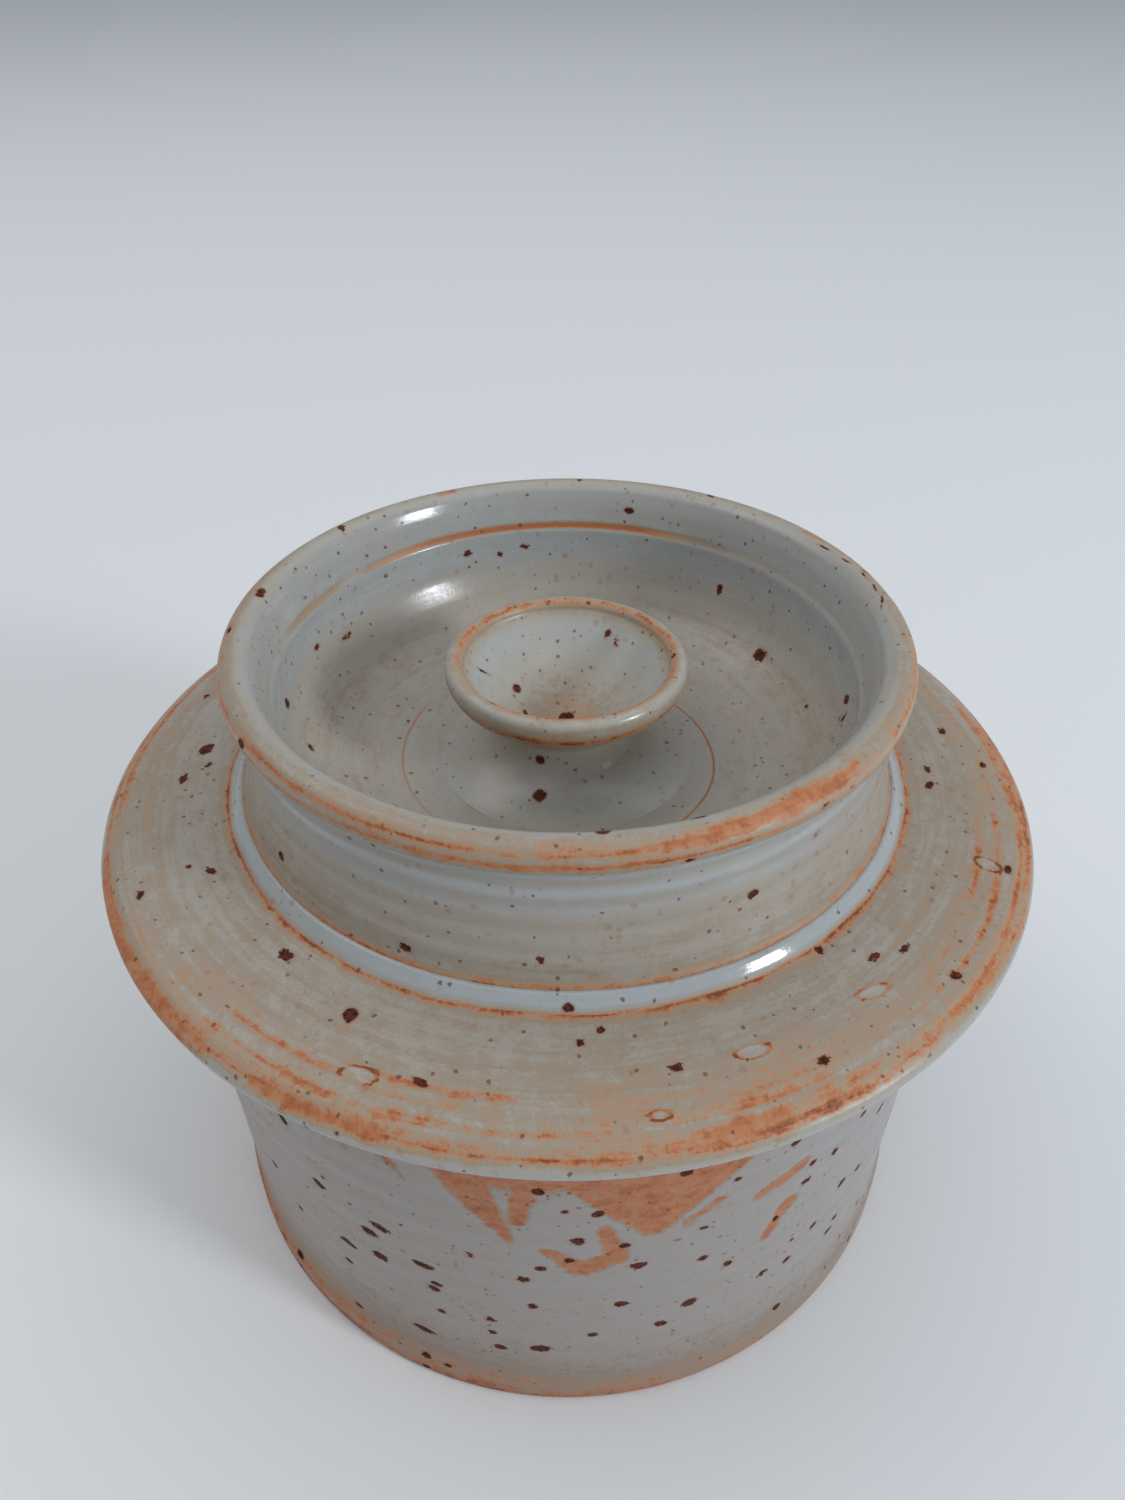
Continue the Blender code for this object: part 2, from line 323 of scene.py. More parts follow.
PLATE_FLECKS = [
    Mark(178, 54.5, 1.3, 1.0, 20), Mark(182, 53.2, 0.7, 0.5, 0), Mark(185, 56.3, 1.1, 0.6, 0),
    Mark(164, 60.5, 0.6, 0.5, 0), Mark(229, 52.4, 1.0, 0.75, 0), Mark(207.5, 53.2, 1.3, 0.5, -30),
    Mark(206.5, 62.5, 0.8, 0.5, 0), Mark(6, 58.2, 0.9, 0.6, 30), Mark(-1.5, 62, 0.6, 0.5, 0),
    Mark(-4, 53.2, 0.8, 0.5, 0), Mark(-8, 53, 0.9, 0.5, 30), Mark(-42, 63, 0.9, 0.6, 40),
    Mark(-47, 54.5, 0.9, 0.5, 0), Mark(-43, 56.5, 1.0, 0.4, 0), Mark(254, 59.6, 1.1, 0.5, 10),
    Mark(-78, 57, 0.8, 0.5, 10), Mark(-62.5, 61.6, 0.8, 0.5, 0), Mark(-88.6, 52.7, 0.6, 0.4, 0),
    Mark(-22, 63.5, 0.8, 0.6, 0), Mark(-52, 49.8, 0.7, 0.5, 0), Mark(-86, 51, 0.4, 0.35, 0),
    Mark(-90, 13, 0.9, 0.45, 0), Mark(226, 18.2, 0.7, 0.4, 0), Mark(165, 25.4, 0.5, 0.4, 0),
    Mark(188, 26.4, 0.6, 0.4, 0), Mark(209, 12.5, 0.4, 0.6, 0), Mark(-76, 12, 0.3, 0.3, 0),
]
PLATE_BLISTERS = [
    Mark(-69, 57.5, 2.2, 0.9, 5), Mark(-51.5, 57.8, 2.3, 0.8, 15), Mark(247.5, 61, 2.3, 1.1, -10),
    Mark(-22.5, 60.8, 1.1, 1.9, 10), Mark(-81, 62.3, 1.2, 0.6, 0), Mark(100, 57, 2.2, 0.9, 5),
]
# Scored or worn lines: angle, level, strength. The floor has the potter's spiral line, the
# crown a rusty line where its rolled rim meets the inner wall.
FLOOR_LINE = [
    (-210, 24.6, 0.6), (-196, 24.2, 0.9), (-172, 24.3, 0.8), (-150, 24.1, 0.6), (-135, 23.8, 0.5),
    (-124, 22.9, 0.6), (-90, 22.7, 0.7), (-50, 22.8, 0.9), (-18, 22.2, 1.0), (9, 21.1, 1.0),
    (35, 20.2, 0.9), (70, 19.6, 0.4), (100, 19.4, 0.2), (150, 19.4, 0.0),
]
RIDGE_LINE = [
    (-180, 95.7, 0.1), (-90, 95.7, 0.2), (-20, 95.7, 0.0), (20, 95.7, 0.0), (45, 95.8, 0.15),
    (65, 95.8, 0.80), (72, 95.9, 1.0), (122, 95.9, 1.0), (138, 95.7, 0.7), (146, 95.7, 0.1),
    (152, 95.7, 0.6), (163, 95.7, 0.7), (172, 95.7, 0.2), (180, 95.7, 0.1),
]
PLATE_BARE = [
    Stroke(196, 66.4, 208, 66.9, 0.2, 1.3), Stroke(208, 66.9, 222, 66.9, 1.3, 1.5),
    Stroke(222, 66.9, 232, 66.5, 1.5, 0.2), Stroke(236, 66.4, 243, 66.2, 0.2, 0.8),
    Stroke(243, 66.2, 252, 66.0, 0.8, 0.1), Stroke(-80, 65.3, -74, 65.0, 0.2, 0.9),
    Stroke(-74, 65.0, -68, 65.0, 0.9, 0.2), Stroke(-64, 64.7, -40, 65.4, 0.05, 0.20),
    Stroke(-40, 65.4, -14, 65.0, 0.20, 0.05), Stroke(-58, 62.3, -34, 62.9, 0.0, 0.20),
    Stroke(-34, 62.9, -12, 61.4, 0.20, 0.05), Stroke(-108, 63.6, -62, 63.3, 0.10, 0.20),
    Stroke(-132, 63.8, -104, 64.3, 0.10, 0.28), Stroke(-130, 61.4, -102, 62.0, 0.25, 0.05),
    Stroke(-112, 60.2, -96, 60.0, 0.15, 0.25), Stroke(-10, 64.6, 12, 64.0, 0.15, 0.45),
    Stroke(-30, 60.2, -18, 59.0, 0.10, 0.25), Stroke(150, 64.5, 190, 65.0, 0.20, 0.35),
    Stroke(60, 66.5, 72, 66.6, 0.2, 1.0), Stroke(72, 66.6, 88, 66.6, 1.0, 0.2),
    Stroke(118, 66.6, 130, 66.8, 0.2, 1.4), Stroke(130, 66.8, 144, 66.5, 1.4, 0.2),
]
CROWN_FLECKS = [
    Mark(-114.7, 82.6, 0.8, 0.6, 0), Mark(-94, 84.5, 0.55, 0.5, 0), Mark(31, 84.0, 1.2, 0.8, 0),
    Mark(-7, 88.5, 0.4, 1.1, 0), Mark(152, 88.0, 1.1, 0.4, 0), Mark(162, 90.0, 0.8, 0.4, 0),
    Mark(100, 92.5, 0.7, 0.5, 0), Mark(106, 91.5, 0.5, 0.4, 0), Mark(114, 92.5, 0.8, 0.5, 0),
    Mark(50, 89.5, 0.5, 0.7, 0), Mark(-74, 207.0, 0.7, 0.45, 0), Mark(142, 202.0, 0.5, 0.9, 20),
    Mark(183, 203.6, 0.9, 0.35, 0), Mark(87, 202.4, 0.5, 0.35, 0), Mark(58, 202.8, 0.6, 0.4, 10),
    Mark(27, 201.8, 1.3, 0.18, -8), Mark(21, 202.2, 1.4, 0.16, -12), Mark(15, 202.5, 1.2, 0.18, 5),
    Mark(10, 202.4, 1.3, 0.16, 8), Mark(5, 202.0, 1.4, 0.14, 20), Mark(16, 203.4, 0.7, 0.22, -20),
    Mark(-52, 205.8, 0.4, 0.3, 0),
]
CROWN_BARE = [
    Stroke(-80, 204.4, -66, 204.2, 0.2, 1.2), Stroke(-66, 204.2, -56, 204.0, 1.2, 1.3),
    Stroke(-56, 204.0, -42, 203.6, 1.3, 0.2), Stroke(-125, 206.1, -96, 206.4, 0.15, 0.5),
    Stroke(-96, 206.4, -80, 206.6, 0.5, 0.2), Stroke(115, 202.8, 118, 202.4, 0.6, 0.4),
    Stroke(172, 205.0, 205, 205.4, 0.2, 0.6), Stroke(34, 202.8, 8, 204.4, 0.10, 0.25),
]
KNOB_FLECKS_AND_BOWL_SHADE = [
    Mark(172, 12.0, 0.9, 0.25, 60), Mark(194, 6.0, 0.5, 0.3, 0), Mark(200, 4.0, 0.3, 0.3, 0),
    Mark(60, 12.5, 0.4, 0.3, 0), Mark(52, 12.0, 0.4, 0.25, 30), Mark(0, 15.0, 0.4, 0.3, 0),
    # The wide dark mark at the bowl's bottom is painted shade of the deep bowl, not a fleck.
    Mark(90, 0.0, 1.8, 1.8, 0),
]


def line_offset(theta, level, line):
    """Signed distance across a line round the pot, and how strong the line is there."""
    angles, levels, strengths = (np.array(column, float) for column in zip(*line))
    turn = (np.degrees(theta) - angles[0]) % 360.0 + angles[0]
    across = np.clip(level - np.interp(turn, angles, levels), -3.0, 3.0)
    return across, np.interp(turn, angles, strengths)


def offset(theta, r, level, angle, at):
    """Distance round the pot and across it from a place to every vertex."""
    turn = (theta - math.radians(angle) + math.pi) % (2 * math.pi) - math.pi
    return turn * r, level - at


def grown(marks, length, width):
    return [m._replace(length=m.length + length, width=m.width + width) for m in marks]


def mark_distance(theta, r, level, marks, far=3.0):
    """Signed distance to the nearest mark's outline, negative inside, at most `far`."""
    best = np.full(theta.shape, far)
    for m in marks:
        u, v = offset(theta, r, level, m.angle, m.level)
        c, s = math.cos(math.radians(m.tilt)), math.sin(math.radians(m.tilt))
        a, b = (u * c + v * s) / m.length, (v * c - u * s) / m.width
        best = np.minimum(best, (np.hypot(a, b) - 1.0) * math.sqrt(m.length * m.width))
    return best


def stroke_distance(theta, r, level, strokes, far=3.0):
    """Signed distance to the nearest stroke's outline, negative inside, at most `far`."""
    best = np.full(theta.shape, far)
    for s in strokes:
        u0, v0 = offset(theta, r, level, s.angle0, s.level0)
        du, dv = math.radians(s.angle1 - s.angle0) * r, s.level1 - s.level0
        t = np.clip((u0 * du + v0 * dv) / (du * du + dv * dv + 1e-9), 0.0, 1.0)
        gap = np.hypot(u0 - t * du, v0 - t * dv) - (s.width0 + (s.width1 - s.width0) * t)
        best = np.minimum(best, gap)
    return best


# ---------------------------------------------------------------- turned skins

def turned_skin(name, rows, closed, segments, lift, flecks_and_shade=(), bare=(), blisters=(), line=None):
    """A turned mesh: rows down the profile, segments round the axis, each vertex lifted along
    the profile's normal by lift(theta, rows). `closed` says that the profile is a ring."""
    theta = np.linspace(0.0, 2 * math.pi, segments, endpoint=False)[None, :]
    r, z = rows.r[:, None], rows.z[:, None]
    if closed:
        ahead, behind = np.roll(np.arange(len(rows.r)), -1), np.roll(np.arange(len(rows.r)), 1)
    else:
        index = np.arange(len(rows.r))
        ahead, behind = np.minimum(index + 1, len(index) - 1), np.maximum(index - 1, 0)
    tr, tz = rows.r[ahead] - rows.r[behind], rows.z[ahead] - rows.z[behind]
    size = np.maximum(np.hypot(tr, tz), 1e-9)
    normal_r, normal_z = (-tz / size)[:, None], (tr / size)[:, None]

    theta_full = np.broadcast_to(theta, (len(rows.r), segments))
    along_full = np.broadcast_to(rows.along[:, None], theta_full.shape)
    level_full = np.broadcast_to(rows.level[:, None], theta_full.shape)
    r_full = np.broadcast_to(r, theta_full.shape)
    fleck = mark_distance(theta_full, r_full, level_full, flecks_and_shade)
    thin = stroke_distance(theta_full, r_full, level_full, bare)
    blister = mark_distance(theta_full, r_full, level_full, blisters)
    far = np.full(theta_full.shape, 3.0)

    push = lift(theta_full, along_full, rows)
    push = push - 0.10 * np.clip(-fleck / 0.4, 0.0, 1.0) - 0.12 * np.clip(0.5 - thin, 0.0, 1.0)
    push = push + 0.16 * np.clip(1.0 - np.abs(blister) / 0.5, 0.0, 1.0)
    radius = r + push * normal_r
    height = z + push * normal_z
    x, y = radius * np.cos(theta), radius * np.sin(theta)
    grid = np.stack([x, y, np.broadcast_to(height, x.shape)], axis=-1) * MM

    poles = [] if closed else [i for i in (0, len(rows.r) - 1) if rows.r[i] < 1e-6]
    body = [i for i in range(len(rows.r)) if i not in poles]
    first = body[0]
    verts = grid[body].reshape(-1, 3)
    across, strength = line_offset(theta_full, level_full, line) if line else (far, 0.0 * far)
    fields = {"along": along_full, "fleck": fleck, "thin": thin, "blister": blister,
              "line": across, "line_strength": strength}
    values = {key: field[body].ravel() for key, field in fields.items()}
    fans = []
    for pole in poles:
        centre = len(verts)
        verts = np.vstack([verts, [[0.0, 0.0, grid[pole, :, 2].mean()]]])
        for key in values:
            values[key] = np.append(values[key], fields[key][pole, 0])
        ring = (body[0] if pole == 0 else body[-1]) - first
        fans.append((centre, ring, pole == 0))

    band = np.arange(len(body) if closed else len(body) - 1)[:, None] * segments
    step = np.arange(segments)[None, :]
    turn = (step + 1) % segments
    below = (band + segments) % (len(body) * segments)
    quads = np.stack([band + step, below + step, below + turn, band + turn], axis=-1).reshape(-1, 4)
    faces = quads.tolist()
    for centre, ring, top in fans:
        for j in range(segments):
            a, b = ring * segments + j, ring * segments + (j + 1) % segments
            faces.append((centre, a, b) if top else (centre, b, a))

    mesh = bpy.data.meshes.new(name)
    mesh.from_pydata(verts.tolist(), [], faces)
    mesh.polygons.foreach_set("use_smooth", [True] * len(mesh.polygons))
    for key, value in values.items():
        mesh.attributes.new(key, "FLOAT", "POINT").data.foreach_set("value", value.astype(np.float32))
    mesh.update()
    skin = bpy.data.objects.new(name, mesh)
    bpy.context.scene.collection.objects.link(skin)
    return skin


# ---------------------------------------------------------------- shader helpers

class Graph:
    """Short names for building one material's nodes."""

    def __init__(self, name):
        self.material = bpy.data.materials.new(name)
        self.material.use_nodes = True
        self.tree = self.material.node_tree
        self.shader = self.tree.nodes["Principled BSDF"]

    def node(self, kind, **settings):
        node = self.tree.nodes.new(kind)
        for key, value in settings.items():
            setattr(node, key, value)
        return node

    def feed(self, socket, value):
        if isinstance(value, bpy.types.NodeSocket):
            self.tree.links.new(value, socket)
        elif value is not None:
            socket.default_value = value

    def math(self, operation, a, b=None):
        node = self.node("ShaderNodeMath", operation=operation)
        self.feed(node.inputs[0], a)
        self.feed(node.inputs[1], b)
        return node.outputs[0]

    def add(self, *terms):
        total = terms[0]
        for term in terms[1:]:
            total = self.math("ADD", total, term)
        return total

    def times(self, a, b):
        return self.math("MULTIPLY", a, b)

    def centred(self, value, amount):
        """A 0-to-1 value as a swing of plus or minus half of amount."""
        return self.math("MULTIPLY", self.math("SUBTRACT", value, 0.5), amount)

    def step(self, value, low, high, low_out=0.0, high_out=1.0):
        """Smooth change from low_out to high_out as value goes from low to high."""
        node = self.node("ShaderNodeMapRange", interpolation_type="SMOOTHSTEP", clamp=True)
        self.feed(node.inputs["Value"], value)
        self.feed(node.inputs["From Min"], low)
        self.feed(node.inputs["From Max"], high)
        self.feed(node.inputs["To Min"], low_out)
        self.feed(node.inputs["To Max"], high_out)
        return node.outputs[0]

    def join(self, x, y, z):
        node = self.node("ShaderNodeCombineXYZ")
        for socket, value in zip(node.inputs, (x, y, z)):
            self.feed(socket, value)
        return node.outputs[0]

    def attribute(self, name):
        return self.node("ShaderNodeAttribute", attribute_name=name).outputs["Fac"]

    def noise(self, vector, scale, detail=2.0, roughness=0.5):
        node = self.node("ShaderNodeTexNoise")
        for key, value in (("Vector", vector), ("Scale", scale), ("Detail", detail),
                           ("Roughness", roughness)):
            self.feed(node.inputs[key], value)
        return node.outputs["Fac"]

    def cells(self, vector, scale):
        """Distance to the nearest point of a scatter, and a random value for that point."""
        node = self.node("ShaderNodeTexVoronoi", feature="F1")
        self.feed(node.inputs["Vector"], vector)
        self.feed(node.inputs["Scale"], scale)
        split = self.node("ShaderNodeSeparateColor")
        self.feed(split.inputs[0], node.outputs["Color"])
        return node.outputs["Distance"], split.outputs[0]

    def ramp(self, value, stops):
        node = self.node("ShaderNodeValToRGB")
        self.feed(node.inputs[0], value)
        band = node.color_ramp
        while len(band.elements) < len(stops):
            band.elements.new(0.5)
        for element, (position, colour) in zip(band.elements, stops):
            element.position = position
            element.color = (*colour, 1.0)
        return node.outputs[0]

    def blend(self, amount, a, b):
        node = self.node("ShaderNodeMix", data_type="RGBA")
        self.feed(node.inputs[0], amount)
        self.feed(node.inputs[6], a if isinstance(a, bpy.types.NodeSocket) else (*a, 1.0))
        self.feed(node.inputs[7], b if isinstance(b, bpy.types.NodeSocket) else (*b, 1.0))
        return node.outputs[2]


# Glaze colour against its thickness, from bare clay to a pool.
GLAZE = [
    (0.00, (0.200, 0.065, 0.028)),
    (0.10, (0.380, 0.125, 0.048)),
    (0.18, (0.500, 0.190, 0.080)),
    (0.30, (0.430, 0.272, 0.165)),
    (0.41, (0.370, 0.280, 0.195)),
    (0.50, (0.372, 0.310, 0.240)),
    (0.59, (0.410, 0.360, 0.292)),
    (0.72, (0.405, 0.377, 0.328)),
    (0.86, (0.405, 0.410, 0.390)),
    (1.00, (0.440, 0.462, 0.458)),
]
# The iron colours below paint iron specks and flecks, and also the painted shade at the bottom of the
# knob's bowl.
IRON_DARK_AND_SHADE = (0.040, 0.012, 0.009)
IRON_LIGHT_AND_SHADE = (0.130, 0.036, 0.020)
IRON_HALO_AND_SHADE_EDGE = (0.330, 0.130, 0.060)
FRECKLE = (0.300, 0.165, 0.085)


def thickness_ramp(graph, rows, value, stops):
    """The glaze's thickness along the profile. A stop is (run, share of the run, thickness)."""
    points = []
    for run, share, thickness in stops:
        low, high = rows.spans[run]
        points.append(((low + share * (high - low)) / rows.total, (thickness,) * 3))
    return graph.ramp(graph.math("DIVIDE", value, rows.total), sorted(points, key=lambda p: p[0]))


def speckle(graph, place, size, share, wobble):
    """Iron specks: about `share` of a scatter `size` apart, of random radius. Returns their
    depth: over 0 inside a speck, below it outside."""
    distance, chance = graph.cells(place, 1.0 / size)
    radius = graph.step(chance, 1.0 - share, 1.0, 0.0, 0.29)
    return graph.math("SUBTRACT", graph.math("SUBTRACT", radius, distance), graph.centred(wobble, 0.35))


def tinted(colour, tint, amount):
    return tuple(c * (1.0 + (t - 1.0) * amount) for c, t in zip(colour, tint))


def glaze(name, rows, stops, streaks=0.35, mottle=0.30, dashes=0.25, wander=1.2, tint=(1.0, 1.0, 1.0),
          specks=0.10, pepper=0.35, gloss=0.10, line_width=0.24, lean_and_side_shade=(0.0, 0.0), bump_depth=0.12):
    """Stoneware glaze: its thickness gives its colour, gloss and relief. `lean_and_side_shade` is the
    side of the pot with the thinner glaze, as an angle, and by how much; on the jar that side's
    thinner, warmer glaze is painted shade and warm reflected light."""
    g = Graph(name)
    geometry = g.node("ShaderNodeTexCoord").outputs["Object"]
    scaled = g.node("ShaderNodeVectorMath", operation="SCALE")
    g.feed(scaled.inputs[0], geometry)
    g.feed(scaled.inputs["Scale"], 1.0 / MM)
    place = scaled.outputs[0]
    split = g.node("ShaderNodeSeparateXYZ")
    g.feed(split.inputs[0], place)
    x, y = split.outputs[0], split.outputs[1]
    radius = g.math("MAXIMUM", g.math("SQRT", g.add(g.times(x, x), g.times(y, y))), 0.01)
    east, north = g.math("DIVIDE", x, radius), g.math("DIVIDE", y, radius)
    along = g.attribute("along")

    drift = g.noise(g.join(g.times(east, 5.0), g.times(north, 5.0), g.times(along, 0.10)), 1.0, 3.0)
    streak_place = g.join(g.times(east, 2.6), g.times(north, 2.6), g.times(along, 1.1))
    streak = g.noise(streak_place, 1.0, 4.0, 0.62)
    patch = g.noise(place, 0.055, 3.0, 0.55)
    grain = g.noise(place, 0.45, 4.0, 0.6)
    fine = g.noise(place, 2.2, 2.0)
    crumb = g.noise(place, 1.1, 2.0)
    dash = g.noise(g.join(g.times(east, 8.0), g.times(north, 8.0), g.times(along, 0.8)), 1.0, 3.0, 0.65)

    # Thin glaze is uneven, pooled glaze is calm.
    shifted = g.add(along, g.centred(drift, wander), g.centred(grain, 0.5))
    base = thickness_ramp(g, rows, shifted, stops)
    unrest = g.math("SUBTRACT", 1.3, base)
    blotch = g.noise(g.join(x, y, g.times(split.outputs[2], 1.5)), 0.22, 3.0, 0.7)
    swing = g.add(g.centred(streak, 2.0 * streaks), g.centred(patch, mottle),
                  g.centred(blotch, 0.30), g.centred(dash, dashes),
                  g.centred(grain, 0.50), g.centred(fine, 0.36))
    side, amount = math.radians(lean_and_side_shade[0]), lean_and_side_shade[1]
    leaning_and_side_shade = g.add(g.times(east, -amount * math.cos(side)),
                    g.times(north, -amount * math.sin(side)))
    leaning_and_side_shade = g.times(leaning_and_side_shade, g.step(radius, 46.0, 52.0))
    thick = g.add(base, g.times(g.add(swing, leaning_and_side_shade), unrest))

    thin_edge = g.add(g.attribute("thin"), g.centred(drift, 1.4), g.centred(grain, 1.3),
                      g.centred(streak, 1.2), g.centred(fine, 0.7))
    cover = g.step(thin_edge, -0.35, 0.55)
    clay = g.add(0.17, g.centred(grain, 0.36), g.centred(crumb, 0.20), g.centred(streak, 0.20))
    thick = g.add(g.times(thick, cover), g.times(g.math("SUBTRACT", 1.0, cover), clay))

    blister = g.add(g.attribute("blister"), g.centred(grain, 0.7), g.centred(fine, 0.3))
    outline = g.step(g.math("ABSOLUTE", blister), 0.08, 0.40, 1.0, 0.0)
    pool = g.step(blister, -0.5, 0.0, 1.0, 0.0)
    thick = g.add(thick, g.times(outline, g.centred(streak, 1.2)), g.times(outline, -0.26),
                  g.times(pool, 0.16))

    wavy = g.add(g.attribute("line"), g.centred(fine, 0.16), g.centred(drift, 0.3))
    near = g.step(g.math("ABSOLUTE", wavy), 0.3 * line_width, line_width, 1.0, 0.0)
    line = g.times(near, g.attribute("line_strength"))
    thick = g.add(thick, g.times(line, g.math("SUBTRACT", 0.12, thick)))
    thick = g.math("MINIMUM", g.math("MAXIMUM", thick, 0.0), 1.0)
    colour = g.ramp(thick, [(p, tinted(rgb, tint, min(1.0, p / 0.4))) for p, rgb in GLAZE])

    stretched = g.join(x, y, g.times(split.outputs[2], 1.25))
    medium = g.add(speckle(g, stretched, 3.6, specks, grain), g.centred(crumb, 0.16))
    freckle = speckle(g, place, 1.5, 0.5, crumb)
    small = speckle(g, place, 1.25, pepper, fine)
    ragged = g.add(g.centred(grain, 0.5), g.centred(crumb, 1.1), g.centred(fine, 0.5))
    # The listed marks get the iron colours; on the knob one of them is painted shade at the bowl's
    # bottom.
    listed_flecks_and_shade = g.math("SUBTRACT", ragged, g.attribute("fleck"))
    iron = g.math("MAXIMUM", g.step(medium, 0.0, 0.06), g.step(listed_flecks_and_shade, -0.06, 0.08))
    halo = g.math("MAXIMUM", g.step(medium, -0.08, 0.03, 0.0, 0.6),
                  g.step(listed_flecks_and_shade, -0.36, 0.0, 0.0, 0.5))
    dust = g.step(small, 0.0, 0.12, 0.0, 0.75)
    freckled = g.times(g.step(freckle, -0.12, 0.08, 0.0, 0.42),
                       g.step(patch, 0.42, 0.60, 1.0, 0.3))
    colour = g.blend(freckled, colour, FRECKLE)
    colour = g.blend(halo, colour, IRON_HALO_AND_SHADE_EDGE)
    colour = g.blend(dust, colour, IRON_LIGHT_AND_SHADE)
    colour = g.blend(iron, colour, g.blend(g.step(fine, 0.35, 0.65), IRON_DARK_AND_SHADE, IRON_LIGHT_AND_SHADE))
    g.feed(g.shader.inputs["Base Color"], colour)

    rough = g.step(thick, 0.2, 1.0, 0.46, gloss)
    rough = g.add(rough, g.centred(grain, 0.10), g.times(iron, 0.25))
    g.feed(g.shader.inputs["Roughness"], g.math("MAXIMUM", rough, 0.05))
    g.feed(g.shader.inputs["IOR"], 1.52)
    g.feed(g.shader.inputs["Specular IOR Level"], g.times(g.step(thick, 0.10, 0.40, 0.22, 0.5),
                                                          g.step(iron, 0.0, 1.0, 1.0, 0.15)))

    relief = g.add(g.times(thick, 0.5), g.centred(fine, 0.05), g.centred(grain, 0.16),
                   g.times(iron, -0.4), g.times(streak, 0.10), g.times(line, -0.7))
    bump = g.node("ShaderNodeBump")
    g.feed(bump.inputs["Strength"], 0.55)
    g.feed(bump.inputs["Distance"], bump_depth * MM)
    g.feed(bump.inputs["Height"], relief)
    g.feed(g.shader.inputs["Normal"], bump.outputs[0])
    return g.material


def bare_clay(name):
    """Fired clay without glaze: matt, sandy, tan, with iron grains."""
    g = Graph(name)
    scaled = g.node("ShaderNodeVectorMath", operation="SCALE")
    g.feed(scaled.inputs[0], g.node("ShaderNodeTexCoord").outputs["Object"])
    g.feed(scaled.inputs["Scale"], 1.0 / MM)
    place = scaled.outputs[0]
    patch = g.noise(place, 0.08, 3.0)
    sand = g.noise(place, 2.6, 3.0, 0.7)
    colour = g.ramp(g.add(g.times(patch, 0.7), g.times(sand, 0.3)),
                    [(0.3, (0.28, 0.155, 0.082)), (0.5, (0.36, 0.215, 0.12)), (0.7, (0.43, 0.28, 0.17))])
    small = speckle(g, place, 1.4, 0.5, sand)
    colour = g.blend(g.step(small, 0.0, 0.1, 0.0, 0.8), colour, IRON_DARK_AND_SHADE)
    g.feed(g.shader.inputs["Base Color"], colour)
    g.feed(g.shader.inputs["Roughness"], g.add(0.68, g.centred(sand, 0.2)))
    bump = g.node("ShaderNodeBump")
    g.feed(bump.inputs["Strength"], 0.6)
    g.feed(bump.inputs["Distance"], 0.12 * MM)
    g.feed(bump.inputs["Height"], sand)
    g.feed(g.shader.inputs["Normal"], bump.outputs[0])
    return g.material


# ---------------------------------------------------------------- the pieces

def finish_piece(skin, material, body, node):
    skin.data.materials.append(material)
    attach(skin, body)
    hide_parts(node)
    return skin


def jar_piece():
    rows = lay_rows(jar_runs())

    def lift(theta, along, rows):
        wall = rows.spans["wall"]
        rings = throwing_rings(theta, along, wall, 5.2, 0.10, 11)
        inside = throwing_rings(theta, along, rows.spans["inside_wall"], 7.0, 0.25, 15)
        return rings + inside + lumps(theta, along, 0.16, 12) * fade(along, wall, 4.0)

    skin = turned_skin("jar_skin", rows, False, 460, lift, grown(JAR_FLECKS, 0.05, 0.34), JAR_BARE)
    stops = [
        ("inside_floor", 0.0, 0.75), ("inside_wall", 0.0, 0.75), ("inside_wall", 0.94, 0.62),
        ("rim", 0.02, 0.20), ("rim", 0.3, 0.12), ("rim", 0.75, 0.15), ("rim", 0.98, 0.30),
        ("wall", 0.02, 0.56), ("wall", 0.3, 0.70), ("wall", 0.82, 0.68), ("wall", 0.96, 0.52),
        ("foot_step", 0.3, 0.48), ("foot_step", 0.9, 0.30),
        ("foot", 0.10, 0.36), ("foot", 0.35, 0.36), ("foot", 0.55, 0.30),
        ("foot", 0.72, 0.24), ("foot", 0.9, 0.17), ("foot", 1.0, 0.12),
        ("underside", 0.02, 0.13), ("underside", 1.0, 0.13),
    ]
    # The jar's tint is darker than the lid's: partly the jar's own colour, partly painted shade, since
    # the jar gets less light than the lid.
    look = glaze("jar_glaze", rows, stops, streaks=0.12, mottle=0.30, wander=0.9,
                 # The lean below thins the glaze on the jar's left side: painted shade and warm
                 # reflected light there.
                 tint=(0.80, 0.77, 0.83), specks=0.30, pepper=0.55, lean_and_side_shade=(200.0, 0.16),
                 gloss=0.26, bump_depth=0.02)
    return finish_piece(skin, look, "jar", "jar_pot")


